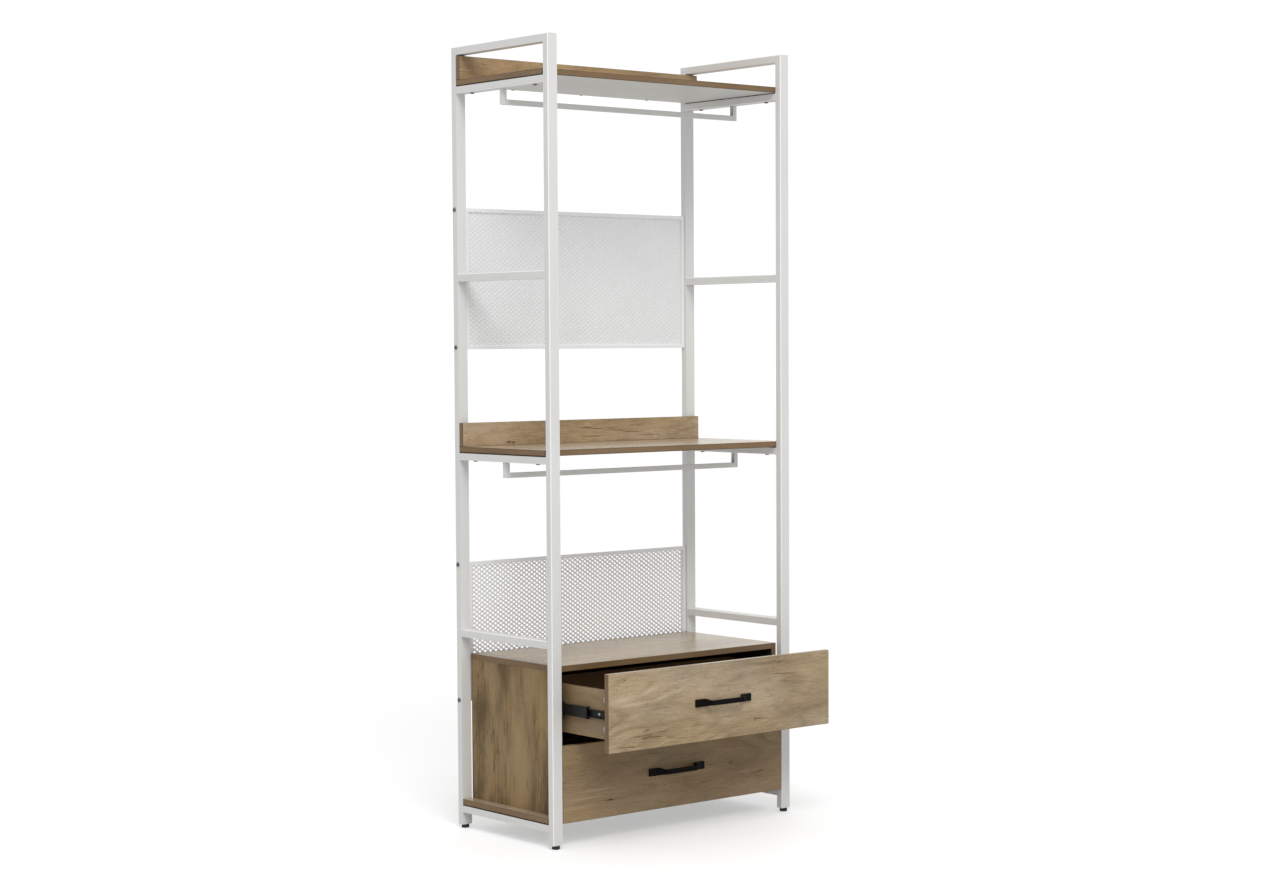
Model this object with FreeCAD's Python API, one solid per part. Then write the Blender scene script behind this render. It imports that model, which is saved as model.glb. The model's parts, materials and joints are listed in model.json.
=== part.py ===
"""Open frame wardrobe: two welded tube sides carry two shelves, two hanging bars, two mesh panels
and a cabinet with two drawers. X runs to the right, Y to the rear and Z up, in millimetres."""
import FreeCAD, Part
import os

Vector = FreeCAD.Vector
RIGHT = Vector(1, 0, 0)
REAR = Vector(0, 1, 0)
UP = Vector(0, 0, 1)
SIDES = (("left", -1), ("right", 1))

# Overall size, over the tubes and the feet
width = 800.0
depth = 400.0
height = 2000.0

# Steel tube of the side frames, its wide face across X in posts and rails alike
tube_wide = 30.0
tube_narrow = 20.0
tube_wall = 1.2

# Screw-in feet and the welded plate that takes them
foot_height = 10.0
foot_radius = 10.0
foot_edge = 2.0
foot_plate = 4.0
stud_radius = 4.0
stud_length = 24.0
stud_clearance = 0.3

# Heights of the rails' top faces: four at one pitch from the bottom, and one below the frame's top
bottom_rail_top = 62.0
rail_pitch = 455.0
top_shelf_drop = 98.0

# Boards of the shelves and the cabinet
board = 15.0
board_gap = 1.0
lip_height = 60.0

# Hanging bars
bar_size = 13.0
bar_wall = 1.2
bar_drop = 40.0
bar_plug = 12.0

# Mesh panels, whose lower edges hang a drop below the rails' top faces
mesh_height = 360.0
mesh_bar = 10.0
mesh_gap = 0.5
mesh_sheet = 1.0
mesh_columns = 12
mesh_rows = 6
mesh_web = 18.0
upper_mesh_drop = 192.0
lower_mesh_drop = 189.0

# Cabinet
cabinet_gap = 1.0
cabinet_side_height = 360.0
cabinet_back_sheet = 4.0

# Drawers
drawer_reach = 180.0
front_gap = 3.0
front_reveal = 1.0
box_side = 12.0
box_height = 120.0
box_depth = 340.0
box_lift = 27.0
box_bottom = 5.0
groove_lift = 8.0
groove_depth = 5.0

# Three-member slides: section sizes, running gap and the middle member's lead
slide_gap = 12.7
slide_length = 335.0
slide_setback = 1.0
slide_height = 35.0
slide_web = 1.2
outer_reach = 10.0
outer_race = 3.7
middle_race = 3.0
middle_end_gap = 0.9
inner_race = 1.2
inner_end_gap = 1.5
slide_run = 0.5

# Strap handles
handle_hole_spacing = 152.0
handle_pad_width = 32.0
handle_height = 19.0
handle_bar_height = 12.5
handle_strap = 5.0
handle_reach = 25.0
handle_slant = 10.0
handle_bend = 4.0

# Machine bolts through the tubes
bolt_radius = 3.0
bolt_head_radius = 5.5
bolt_head = 3.0
bolt_clearance = 0.3
bolt_inset = 70.0
bolt_bite = 10.0
access_clearance = 1.5

# Wood screws of the lips, the cabinet's back, the slides, the drawer boxes and the handles
screw_radius = 2.0
screw_head_radius = 4.0
screw_head = 2.0
lip_screw_spacing = 225.0
lip_screw_bite = 25.0
slide_screw_bite = 9.0
slide_screw_front = 67.0
slide_screw_rear = 290.0
back_screw_bite = 12.0
back_screw_inset = 40.0
box_screw_bite = 20.0
handle_screw_bite = 4.0

# Wooden dowels between the cabinet's sides and its top and bottom
dowel_radius = 4.0
dowel_inset = 50.0
dowel_in_side = 20.0
dowel_in_board = 10.0

# Cam locks that hold the drawer fronts by steel pins
cam_radius = 7.5
cam_depth = 9.0
cam_setback = 34.0
cam_inset = 24.0
cam_pin_radius = 2.5
cam_pin_bite = 8.0

# Levels, planes and half widths that the pieces share
half = width / 2
tube_mid = half - tube_wide / 2
post_inner = half - tube_wide
board_front = tube_narrow + board_gap
board_rear = depth - board_front
lower_rail_top = bottom_rail_top + rail_pitch
middle_shelf_rail_top = lower_rail_top + rail_pitch
middle_rail_top = middle_shelf_rail_top + rail_pitch
top_shelf_rail_top = height - top_shelf_drop
mesh_middle = depth - tube_narrow / 2
cabinet_half = post_inner - cabinet_gap
cabinet_inner = cabinet_half - board
cabinet_rear = board_rear - cabinet_back_sheet
cabinet_floor = bottom_rail_top + board
cabinet_roof = cabinet_floor + cabinet_side_height
cabinet_top = cabinet_roof + board
box_half = cabinet_inner - slide_gap
front_height = (cabinet_top - bottom_rail_top - front_gap - front_reveal) / 2
slide_front = board + slide_setback
handle_half = (handle_hole_spacing + handle_pad_width) / 2
back_screw_length = cabinet_back_sheet + back_screw_bite
bolt_rows = (bolt_inset, depth - bolt_inset)
lip_screw_places = (-lip_screw_spacing, 0.0, lip_screw_spacing)

# The origin lies on the floor, midway between the open drawer's handle and the frame's rear
origin = Vector(0, (depth - drawer_reach - handle_reach) / 2, 0)

rails = {
    "bottom": bottom_rail_top,
    "lower": lower_rail_top,
    "middle_shelf": middle_shelf_rail_top,
    "middle": middle_rail_top,
    "top_shelf": top_shelf_rail_top,
}
shelves = {"top": top_shelf_rail_top, "middle": middle_shelf_rail_top}
meshes = {"upper": middle_rail_top - upper_mesh_drop, "lower": lower_rail_top - lower_mesh_drop}
drawers = {
    "upper": (bottom_rail_top + front_height + front_gap, -drawer_reach),
    "lower": (bottom_rail_top, 0.0),
}
nodes = {}


def box(x, y, z):
    """A block from three (low, high) pairs."""
    corner = Vector(x[0], y[0], z[0])
    return Part.makeBox(x[1] - x[0], y[1] - y[0], z[1] - z[0], corner)


def across(sign, near, far):
    """The X pair between two distances from the middle, on the side that sign names."""
    return tuple(sorted((sign * near, sign * far)))


def wedge(corners, x):
    """A prism along X from (y, z) corners."""
    points = [Vector(x[0], y, z) for y, z in corners]
    face = Part.Face(Part.makePolygon(points + points[:1]))
    return face.extrude(RIGHT * (x[1] - x[0]))


def tapered(rear_half, front_half, y, z):
    """An upright block centred on X that narrows from its rear to its front."""
    corners = [(-front_half, y[0]), (front_half, y[0]), (rear_half, y[1]), (-rear_half, y[1])]
    points = [Vector(a, b, z[0]) for a, b in corners]
    face = Part.Face(Part.makePolygon(points + points[:1]))
    return face.extrude(UP * (z[1] - z[0]))


def fastener(seat, way, length, radius, head_radius, head):
    """A round shank that runs from its seat along way, with a round head behind the seat."""
    shank = Part.makeCylinder(radius, length, seat, way)
    return shank.fuse(Part.makeCylinder(head_radius, head, seat, -way)).removeSplitter()


def bolt(seat, way, length):
    return fastener(seat, way, length, bolt_radius, bolt_head_radius, bolt_head)


def screw(seat, way, length):
    return fastener(seat, way, length, screw_radius, screw_head_radius, screw_head)


def flush_screw(seat, way):
    """A screw whose head fills a hole in the web of an outer slide member."""
    return fastener(seat, way, slide_screw_bite, screw_radius, screw_head_radius, slide_web)


def drill(shape, seats, way, length, radius):
    """The shape with a round hole from each seat along way."""
    for seat in seats:
        shape = shape.cut(Part.makeCylinder(radius, length, seat, way))
    return shape


def mesh_bolt_seats(sign):
    """Where the mesh panels' bolts meet the outer face of one rear post."""
    levels = []
    for bottom in meshes.values():
        levels += [bottom + mesh_bar / 2, bottom + mesh_height - mesh_bar / 2]
    return [Vector(sign * half, mesh_middle, z) for z in levels]


def make_post(sign, row):
    """A post, mitred at the top and closed at the bottom by the plate that takes its foot."""
    x = across(sign, post_inner, half)
    bore_x = across(sign, post_inner + tube_wall, half - tube_wall)
    outer_y = 0.0 if row == "front" else depth
    inward = 1 if row == "front" else -1
    inner_y = outer_y + inward * tube_narrow
    y = tuple(sorted((outer_y, inner_y)))
    bore_y = (y[0] + tube_wall, y[1] - tube_wall)
    post = box(x, y, (foot_height, height))
    post = post.cut(box(bore_x, bore_y, (foot_height + foot_plate, height)))
    mitre = [(outer_y, height), (inner_y, height), (inner_y, height - tube_narrow)]
    post = post.cut(wedge(mitre, x))
    stud_foot = Vector(sign * tube_mid, (outer_y + inner_y) / 2, foot_height)
    post = drill(post, [stud_foot], UP, foot_plate, stud_radius + stud_clearance)
    if row == "rear":
        inside = RIGHT * -sign
        post = drill(post, mesh_bolt_seats(sign), inside, tube_wide, bolt_radius + bolt_clearance)
    return post


def make_foot(sign, row):
    """A round pad with the stud that screws into the post's plate."""
    y = tube_narrow / 2 if row == "front" else depth - tube_narrow / 2
    pad = Part.makeCylinder(foot_radius, foot_height, Vector(sign * tube_mid, y, 0), UP)
    rim = [edge for edge in pad.Edges if edge.BoundBox.ZMax < foot_edge]
    pad = pad.makeFillet(foot_edge, rim)
    stud = Part.makeCylinder(stud_radius, stud_length, Vector(sign * tube_mid, y, foot_height), UP)
    return pad.fuse(stud)


def make_rail(sign, name, top):
    """A rail between two posts, drilled for the bolts of the board or bar that it carries."""
    z = (top - tube_narrow, top)
    bore = box(
        across(sign, post_inner + tube_wall, half - tube_wall),
        (0.0, depth),
        (z[0] + tube_wall, z[1] - tube_wall),
    )
    rail = box(across(sign, post_inner, half), (tube_narrow, depth - tube_narrow), z).cut(bore)
    if name in ("bottom", "middle_shelf", "top_shelf"):
        seats = [Vector(sign * tube_mid, y, z[0]) for y in bolt_rows]
        rail = drill(rail, seats, UP, tube_narrow, bolt_radius + bolt_clearance)
    if name in ("middle_shelf", "top_shelf"):
        seat = Vector(sign * tube_mid, depth / 2, z[0])
        rail = drill(rail, [seat], UP, tube_narrow / 2, bolt_radius + bolt_clearance)
        way_in = seat + UP * (tube_narrow / 2)
        rail = drill(rail, [way_in], UP, tube_narrow / 2, bolt_head_radius + access_clearance)
    return rail


def make_top_rail(sign):
    """The rail over both posts of a side, mitred to them."""
    x = across(sign, post_inner, half)
    z = (height - tube_narrow, height)
    bore = box(
        across(sign, post_inner + tube_wall, half - tube_wall),
        (0.0, depth),
        (z[0] + tube_wall, z[1] - tube_wall),
    )
    rail = box(x, (0.0, depth), z).cut(bore)
    for outer_y, inner_y in ((0.0, tube_narrow), (depth, depth - tube_narrow)):
        rail = rail.cut(wedge([(outer_y, z[1]), (outer_y, z[0]), (inner_y, z[0])], x))
    return rail


def board_bolt_seats(top):
    """Where the bolts of a board on two rails meet the rails' undersides."""
    return [Vector(sign * tube_mid, y, top - tube_narrow) for _, sign in SIDES for y in bolt_rows]


def lip_screw_seats(level):
    """Where a lip's screws meet the underside of its shelf."""
    return [Vector(x, board_rear - board / 2, level) for x in lip_screw_places]


def make_carried_board(level):
    """A board across the whole width that lies on two rails, with its bolts' blind holes."""
    plate = box((-half, half), (board_front, board_rear), (level, level + board))
    seats = [seat + UP * tube_narrow for seat in board_bolt_seats(level)]
    return drill(plate, seats, UP, bolt_bite, bolt_radius)


def make_shelf(level):
    return drill(make_carried_board(level), lip_screw_seats(level), UP, board, screw_radius)


def make_lip(level):
    """The board that stands along the rear of a shelf."""
    bottom = level + board
    lip = box((-half, half), (board_rear - board, board_rear), (bottom, bottom + lip_height))
    return drill(lip, lip_screw_seats(bottom), UP, lip_screw_bite, screw_radius)


def bar_bolt_seats(rail_top):
    """Where the bolts of a hanging bar sit on the inside of its two rails."""
    seat_z = rail_top - tube_narrow + tube_wall
    return [Vector(sign * tube_mid, depth / 2, seat_z) for _, sign in SIDES]


def make_hanging_bar(rail_top):
    """A square tube bent down from two rails, with a threaded plug in each leg."""
    top = rail_top - tube_narrow
    low = top - bar_drop

    def frame_tube(size, leg_top):
        y = (depth / 2 - size / 2, depth / 2 + size / 2)
        inset = (bar_size - size) / 2
        reach = tube_mid + size / 2
        tube = box((-reach, reach), y, (low + inset, low + inset + size))
        for _, sign in SIDES:
            leg_x = across(sign, reach - size, reach)
            tube = tube.fuse(box(leg_x, y, (low + inset, leg_top)))
        return tube.removeSplitter()

    bar = frame_tube(bar_size, top).cut(frame_tube(bar_size - 2 * bar_wall, top - bar_plug))
    seats = [Vector(seat.x, seat.y, top) for seat in bar_bolt_seats(rail_top)]
    return drill(bar, seats, -UP, bar_plug, bolt_radius)


def make_mesh_frame(bottom):
    """The square bar frame of a mesh panel, with blind holes for the bolts through the posts."""
    reach = post_inner - mesh_gap
    y = (mesh_middle - mesh_bar / 2, mesh_middle + mesh_bar / 2)
    frame = box((-reach, reach), y, (bottom, bottom + mesh_height))
    inner = reach - mesh_bar
    frame = frame.cut(box((-inner, inner), y, (bottom + mesh_bar, bottom + mesh_height - mesh_bar)))
    for _, sign in SIDES:
        seats = [
            Vector(sign * reach, mesh_middle, bottom + mesh_bar / 2),
            Vector(sign * reach, mesh_middle, bottom + mesh_height - mesh_bar / 2),
        ]
        frame = drill(frame, seats, RIGHT * -sign, bolt_bite, bolt_radius)
    return frame


def make_mesh_sheet(bottom):
    """The expanded sheet of a mesh panel, with a plain grid of openings in place of its fine diamonds."""
    inner = post_inner - mesh_gap - mesh_bar
    y = (mesh_middle - mesh_sheet / 2, mesh_middle + mesh_sheet / 2)
    low = bottom + mesh_bar
    high = bottom + mesh_height - mesh_bar
    step_x = (2 * inner - mesh_web) / mesh_columns
    step_z = (high - low - mesh_web) / mesh_rows
    openings = []
    for column in range(mesh_columns):
        left = mesh_web - inner + column * step_x
        for row in range(mesh_rows):
            sill = low + mesh_web + row * step_z
            openings.append(box((left, left + step_x - mesh_web), y, (sill, sill + step_z - mesh_web)))
    return box((-inner, inner), y, (low, high)).cut(openings)


def add_frame():
    for side, sign in SIDES:
        for row in ("front", "rear"):
            nodes[f"{side}_{row}_post"] = make_post(sign, row)
            nodes[f"{side}_{row}_foot"] = make_foot(sign, row)
        for name, top in rails.items():
            nodes[f"{side}_{name}_rail"] = make_rail(sign, name, top)
        nodes[f"{side}_top_rail"] = make_top_rail(sign)


def add_shelves():
    for name, level in shelves.items():
        nodes[f"{name}_shelf"] = make_shelf(level)
        nodes[f"{name}_shelf_lip"] = make_lip(level)
        nodes[f"{name}_hanging_bar"] = make_hanging_bar(level)


def add_mesh_panels():
    for name, bottom in meshes.items():
        nodes[f"{name}_mesh_frame"] = make_mesh_frame(bottom)
        nodes[f"{name}_mesh_sheet"] = make_mesh_sheet(bottom)
    bolts = []
    for _, sign in SIDES:
        length = tube_wide + mesh_gap + bolt_bite
        bolts += [bolt(seat, RIGHT * -sign, length) for seat in mesh_bolt_seats(sign)]
    nodes["mesh_panel_bolts"] = Part.makeCompound(bolts)


def make_dowels():
    """The dowels at both ends of the cabinet's sides."""
    length = dowel_in_side + dowel_in_board
    dowels = []
    for _, sign in SIDES:
        x = sign * (cabinet_half - board / 2)
        for y in (board_front + dowel_inset, cabinet_rear - dowel_inset):
            for low in (cabinet_floor - dowel_in_board, cabinet_roof - dowel_in_side):
                dowels.append(Part.makeCylinder(dowel_radius, length, Vector(x, y, low), UP))
    return Part.makeCompound(dowels)


def back_screw_seats():
    """Where the screws of the cabinet's back meet its rear face."""
    levels = (
        cabinet_floor + back_screw_inset,
        (cabinet_floor + cabinet_roof) / 2,
        cabinet_roof - back_screw_inset,
    )
    places = [(sign * (cabinet_half - board / 2), z) for _, sign in SIDES for z in levels]
    places += [(x, cabinet_roof + board / 2) for x in lip_screw_places]
    return [Vector(x, board_rear, z) for x, z in places]


def add_cabinet():
    dowels = make_dowels()
    y = (board_front, cabinet_rear)
    wide = (-cabinet_half, cabinet_half)
    cabinet = {
        "bottom": make_carried_board(bottom_rail_top).cut(dowels),
        "top": box(wide, y, (cabinet_roof, cabinet_top)).cut(dowels),
        "back": box(wide, (cabinet_rear, board_rear), (cabinet_floor, cabinet_top)),
    }
    for side, sign in SIDES:
        x = across(sign, cabinet_inner, cabinet_half)
        upright = box(x, y, (cabinet_floor, cabinet_roof)).cut(dowels)
        for front_bottom, _ in drawers.values():
            seats = outer_screw_seats(sign, front_bottom)
            upright = drill(upright, seats, RIGHT * sign, slide_screw_bite, screw_radius)
        cabinet[f"{side}_side"] = upright
    for name in ("top", "back", "left_side", "right_side"):
        cabinet[name] = drill(cabinet[name], back_screw_seats(), -REAR, back_screw_length, screw_radius)
    for name, shape in cabinet.items():
        nodes[f"cabinet_{name}"] = shape
    nodes["cabinet_dowels"] = dowels


def add_fasteners():
    """The bolts through the rails and the wood screws of the lips, the back and the outer slides."""
    bolts = []
    for level in (bottom_rail_top, *shelves.values()):
        bolts += [bolt(seat, UP, tube_narrow + bolt_bite) for seat in board_bolt_seats(level)]
    screws = [screw(seat, -REAR, back_screw_length) for seat in back_screw_seats()]
    for level in shelves.values():
        bolts += [bolt(seat, -UP, tube_wall + bar_plug) for seat in bar_bolt_seats(level)]
        screws += [screw(seat, UP, board + lip_screw_bite) for seat in lip_screw_seats(level)]
    for front_bottom, _ in drawers.values():
        for _, sign in SIDES:
            screws += [flush_screw(seat, RIGHT * sign) for seat in outer_screw_seats(sign, front_bottom)]
    nodes["rail_bolts"] = Part.makeCompound(bolts)
    nodes["board_screws"] = Part.makeCompound(screws)


def channel(sign, web, flange_far, half_height, race, y, middle_z):
    """A slide member: a web, given as a near and far distance from the cabinet's side, and two
    flanges that run from the web to flange_far."""
    web_x = across(sign, cabinet_inner - web[0], cabinet_inner - web[1])
    near, far = min(web[0], flange_far), max(web[1], flange_far)
    flange_x = across(sign, cabinet_inner - near, cabinet_inner - far)
    member = box(web_x, y, (middle_z - half_height, middle_z + half_height))
    for low in (-half_height, half_height - race):
        member = member.fuse(box(flange_x, y, (middle_z + low, middle_z + low + race)))
    return member.removeSplitter()


def slide_middle_z(front_bottom):
    return front_bottom + box_lift + box_height / 2


def slide_screw_seats(sign, front_bottom, face_y):
    """Where the screws of one inner member sit on its web."""
    z = slide_middle_z(front_bottom)
    x = sign * (box_half + slide_web)
    return [Vector(x, face_y + y, z) for y in (slide_screw_front, slide_screw_rear)]


def outer_screw_seats(sign, front_bottom):
    """Where the screws of one outer member meet the cabinet's side."""
    z = slide_middle_z(front_bottom)
    return [Vector(sign * cabinet_inner, y, z) for y in (slide_screw_front, slide_screw_rear)]


def make_outer_member(sign, front_bottom):
    y = (board_front + slide_setback, board_front + slide_setback + slide_length)
    middle_z = slide_middle_z(front_bottom)
    member = channel(sign, (0.0, slide_web), outer_reach, slide_height / 2, outer_race, y, middle_z)
    seats = outer_screw_seats(sign, front_bottom)
    return drill(member, seats, RIGHT * -sign, slide_web, screw_head_radius)


def middle_half():
    return slide_height / 2 - outer_race - slide_run


def make_middle_member(sign, middle_z, travel):
    near = slide_web + slide_run
    y = (slide_front - travel, slide_front - travel + slide_length)
    flange_far = slide_gap - middle_end_gap
    return channel(sign, (near, near + slide_web), flange_far, middle_half(), middle_race, y, middle_z)


def make_inner_member(sign, middle_z, travel):
    near = slide_web + slide_run + slide_web + inner_end_gap
    half_height = middle_half() - middle_race - slide_run
    y = (slide_front - travel, slide_front - travel + slide_length)
    return channel(sign, (slide_gap - slide_web, slide_gap), near, half_height, inner_race, y, middle_z)


def bend_edges(block, face_y):
    """The upright edges of a block that lie clear of the plane at face_y."""
    boxes = [(edge, edge.BoundBox) for edge in block.Edges]
    return [edge for edge, size in boxes if size.ZLength > size.XLength and size.YMax < face_y]


def make_handle(face_y, middle_z):
    """A strap bent out from two pads, its legs slanted and narrowed, drilled from behind for screws."""
    inner = handle_half - handle_pad_width
    leg = inner + handle_strap
    out_y = face_y - handle_reach
    z = (middle_z - handle_height / 2, middle_z + handle_height / 2)
    bow = tapered(leg, leg - handle_slant, (out_y, face_y), z)
    bow = bow.makeFillet(handle_bend + handle_strap, bend_edges(bow, face_y))
    gap_slant = handle_slant * (1 - handle_strap / handle_reach)
    gap = tapered(inner, inner - gap_slant, (out_y + handle_strap, face_y), z)
    bow = bow.cut(gap.makeFillet(handle_bend, bend_edges(gap, face_y)))
    for way in (-1, 1):
        bar_edge = middle_z + way * handle_bar_height / 2
        pad_edge = middle_z + way * handle_height / 2
        bar_rear = (out_y + handle_strap, bar_edge)
        waste = [(out_y, bar_edge), bar_rear, (face_y - handle_strap, pad_edge), (out_y, pad_edge)]
        bow = bow.cut(wedge(waste, (-leg, leg)))
    for _, sign in SIDES:
        bow = bow.fuse(box(across(sign, inner, handle_half), (face_y - handle_strap, face_y), z))
    seats = [Vector(sign * handle_hole_spacing / 2, face_y, middle_z) for _, sign in SIDES]
    return drill(bow.removeSplitter(), seats, -REAR, handle_screw_bite, screw_radius)


def box_levels(front_bottom):
    """The heights of the cam locks and of the rear screws of a drawer box."""
    low = front_bottom + box_lift
    return (low + cam_inset, low + box_height - cam_inset)


def make_cam_lock(sign, face_y, z):
    """A cam in a drawer side and the pin that it pulls out of the drawer front."""
    y = face_y + board + cam_setback
    cam = Part.makeCylinder(cam_radius, cam_depth, Vector(sign * box_half, y, z), RIGHT * -sign)
    pin_foot = Vector(sign * (box_half - box_side / 2), face_y + board - cam_pin_bite, z)
    return cam.fuse(Part.makeCylinder(cam_pin_radius, cam_pin_bite + cam_setback, pin_foot, REAR))


def box_screw_seats(sign, front_bottom, face_y):
    """Where the screws into a drawer's back meet one drawer side."""
    y = face_y + board + box_depth - box_side / 2
    return [Vector(sign * box_half, y, z) for z in box_levels(front_bottom)]


def add_drawer(name, front_bottom, face_y):
    """A drawer whose front face lies at face_y: its box, handle, inner slide members and screws."""
    front_rear = face_y + board
    rear = front_rear + box_depth
    low = front_bottom + box_lift
    middle_z = front_bottom + front_height / 2
    inner = box_half - box_side
    sheet_z = (low + groove_lift, low + groove_lift + box_bottom)
    reach = inner + groove_depth
    bottom = box((-reach, reach), (front_rear - groove_depth, rear), sheet_z)
    nodes[f"{name}_drawer_bottom"] = bottom

    front = box(
        (-cabinet_half, cabinet_half),
        (face_y, front_rear),
        (front_bottom, front_bottom + front_height),
    )
    locks = Part.makeCompound(
        [make_cam_lock(sign, face_y, z) for _, sign in SIDES for z in box_levels(front_bottom)]
    )
    nodes[f"{name}_drawer_cam_locks"] = locks
    handle_seats = [Vector(sign * handle_hole_spacing / 2, front_rear, middle_z) for _, sign in SIDES]
    front = front.cut(bottom).cut(locks)
    nodes[f"{name}_drawer_front"] = drill(front, handle_seats, -REAR, board, screw_radius)
    nodes[f"{name}_drawer_handle"] = make_handle(face_y, middle_z)
    screws = [screw(seat, -REAR, board + handle_screw_bite) for seat in handle_seats]

    back = box((-inner, inner), (rear - box_side, rear), (sheet_z[1], low + box_height))
    inner_members = []
    for side, sign in SIDES:
        inside = RIGHT * -sign
        board_side = box(across(sign, inner, box_half), (front_rear, rear), (low, low + box_height))
        board_side = board_side.cut(bottom).cut(locks)
        slide_seats = slide_screw_seats(sign, front_bottom, face_y)
        slide_screw_length = slide_web + slide_screw_bite
        board_side = drill(board_side, slide_seats, inside, slide_screw_length, screw_radius)
        member = make_inner_member(sign, slide_middle_z(front_bottom), -face_y)
        inner_members.append(drill(member, slide_seats, inside, slide_web, screw_radius))
        screws += [screw(seat, inside, slide_screw_length) for seat in slide_seats]
        box_seats = box_screw_seats(sign, front_bottom, face_y)
        box_screw_length = box_side + box_screw_bite
        nodes[f"{name}_drawer_{side}_side"] = drill(board_side, box_seats, inside, box_side, screw_radius)
        back = drill(back, box_seats, inside, box_screw_length, screw_radius)
        screws += [screw(seat, inside, box_screw_length) for seat in box_seats]
    nodes[f"{name}_drawer_back"] = back
    nodes[f"{name}_drawer_screws"] = Part.makeCompound(screws)
    nodes[f"{name}_slide_inner_members"] = Part.makeCompound(inner_members)


def add_drawers():
    outer_members = []
    for name, (front_bottom, face_y) in drawers.items():
        add_drawer(name, front_bottom, face_y)
        middle_z = slide_middle_z(front_bottom)
        outer_members += [make_outer_member(sign, front_bottom) for _, sign in SIDES]
        middles = [make_middle_member(sign, middle_z, -face_y / 2) for _, sign in SIDES]
        nodes[f"{name}_slide_middle_members"] = Part.makeCompound(middles)
    nodes["slide_outer_members"] = Part.makeCompound(outer_members)


add_frame()
add_shelves()
add_mesh_panels()
add_cabinet()
add_drawers()
add_fasteners()
os.makedirs("parts", exist_ok=True)
for node, shape in nodes.items():
    shape.translate(-origin)
    shape.exportStep(f"parts/{node}.step")
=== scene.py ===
import json
import math

import bmesh
import bpy
from mathutils import Matrix, Vector


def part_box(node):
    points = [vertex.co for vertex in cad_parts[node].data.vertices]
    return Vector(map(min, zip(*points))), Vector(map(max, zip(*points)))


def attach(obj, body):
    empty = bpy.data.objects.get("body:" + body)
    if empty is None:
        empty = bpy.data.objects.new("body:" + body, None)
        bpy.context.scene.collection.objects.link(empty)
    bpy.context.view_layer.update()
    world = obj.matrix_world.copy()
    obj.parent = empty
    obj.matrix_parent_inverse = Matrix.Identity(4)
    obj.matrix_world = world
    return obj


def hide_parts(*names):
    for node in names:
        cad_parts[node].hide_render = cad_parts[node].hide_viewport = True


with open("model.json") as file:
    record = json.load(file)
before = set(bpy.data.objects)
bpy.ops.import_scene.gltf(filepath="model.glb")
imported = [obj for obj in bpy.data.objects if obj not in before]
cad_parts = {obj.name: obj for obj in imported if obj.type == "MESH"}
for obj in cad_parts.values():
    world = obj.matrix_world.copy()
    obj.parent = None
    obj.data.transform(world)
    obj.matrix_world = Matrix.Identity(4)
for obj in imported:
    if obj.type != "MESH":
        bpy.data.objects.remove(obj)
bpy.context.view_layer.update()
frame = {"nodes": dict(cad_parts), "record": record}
NODES = frame["nodes"]
RECORD = frame["record"]
BODY_OF = {member: body for body, members in RECORD["behaviour"]["bodies"].items() for member in members}
SCENE = bpy.context.scene
X, Y, Z = 0, 1, 2
AXES = (X, Y, Z)

# Camera: the photograph's place, direction and lens, for an image of 1279 by 882 pixels
IMAGE_WIDTH = 1279
IMAGE_HEIGHT = 882
FOCAL_PIXELS = 2507.346
CENTRE_PIXEL = (640.593, 494.380)
CAMERA_PLACE = (-4.157510, -4.932318, 1.243492)
CAMERA_YAW = 0.696501
CAMERA_PITCH = -0.059518
CAMERA_ROLL = -0.005610
SENSOR = 36.0
FARTHEST = 100.0


def make_camera():
    data = bpy.data.cameras.new("photo_camera")
    data.sensor_fit = "HORIZONTAL"
    data.sensor_width = SENSOR
    data.lens = FOCAL_PIXELS * SENSOR / IMAGE_WIDTH
    data.shift_x = (IMAGE_WIDTH / 2 - CENTRE_PIXEL[0]) / IMAGE_WIDTH
    data.shift_y = (CENTRE_PIXEL[1] - IMAGE_HEIGHT / 2) / IMAGE_WIDTH
    data.clip_end = FARTHEST
    camera = bpy.data.objects.new("photo_camera", data)
    SCENE.collection.objects.link(camera)
    level = Vector((math.sin(CAMERA_YAW), math.cos(CAMERA_YAW), 0.0))
    right = Vector((math.cos(CAMERA_YAW), -math.sin(CAMERA_YAW), 0.0))
    forward = level * math.cos(CAMERA_PITCH) + Vector((0, 0, math.sin(CAMERA_PITCH)))
    up = Vector((0, 0, math.cos(CAMERA_PITCH))) - level * math.sin(CAMERA_PITCH)
    rolled = right * math.cos(CAMERA_ROLL) + up * math.sin(CAMERA_ROLL)
    up = up * math.cos(CAMERA_ROLL) - right * math.sin(CAMERA_ROLL)
    turn = Matrix((rolled, up, -forward)).transposed().to_4x4()
    camera.matrix_world = Matrix.Translation(CAMERA_PLACE) @ turn
    SCENE.camera = camera


# Materials: every one is worked out from the piece's own coordinates
def node(tree, kind, inputs=None, **settings):
    """A shader node with its settings, and its inputs linked or set."""
    made = tree.nodes.new("ShaderNode" + kind)
    for key, value in settings.items():
        setattr(made, key, value)
    for key, value in (inputs or {}).items():
        if isinstance(value, bpy.types.NodeSocket):
            tree.links.new(value, made.inputs[key])
        else:
            made.inputs[key].default_value = value
    return made


def math_node(tree, operation, first, second=0.0):
    return node(tree, "Math", {0: first, 1: second}, operation=operation).outputs[0]


def vector_node(tree, operation, first, second):
    return node(tree, "VectorMath", {0: first, 1: second}, operation=operation).outputs[0]


def noise(tree, place, scale, detail, roughness=0.5):
    inputs = {"Vector": place, "Scale": scale, "Detail": detail, "Roughness": roughness}
    return node(tree, "TexNoise", inputs).outputs["Fac"]


def spread(tree, value, low, high, to_low=0.0, to_high=1.0):
    """The value carried from one range to another and kept inside it."""
    inputs = {"Value": value, "From Min": low, "From Max": high, "To Min": to_low, "To Max": to_high}
    return node(tree, "MapRange", inputs).outputs["Result"]


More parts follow.
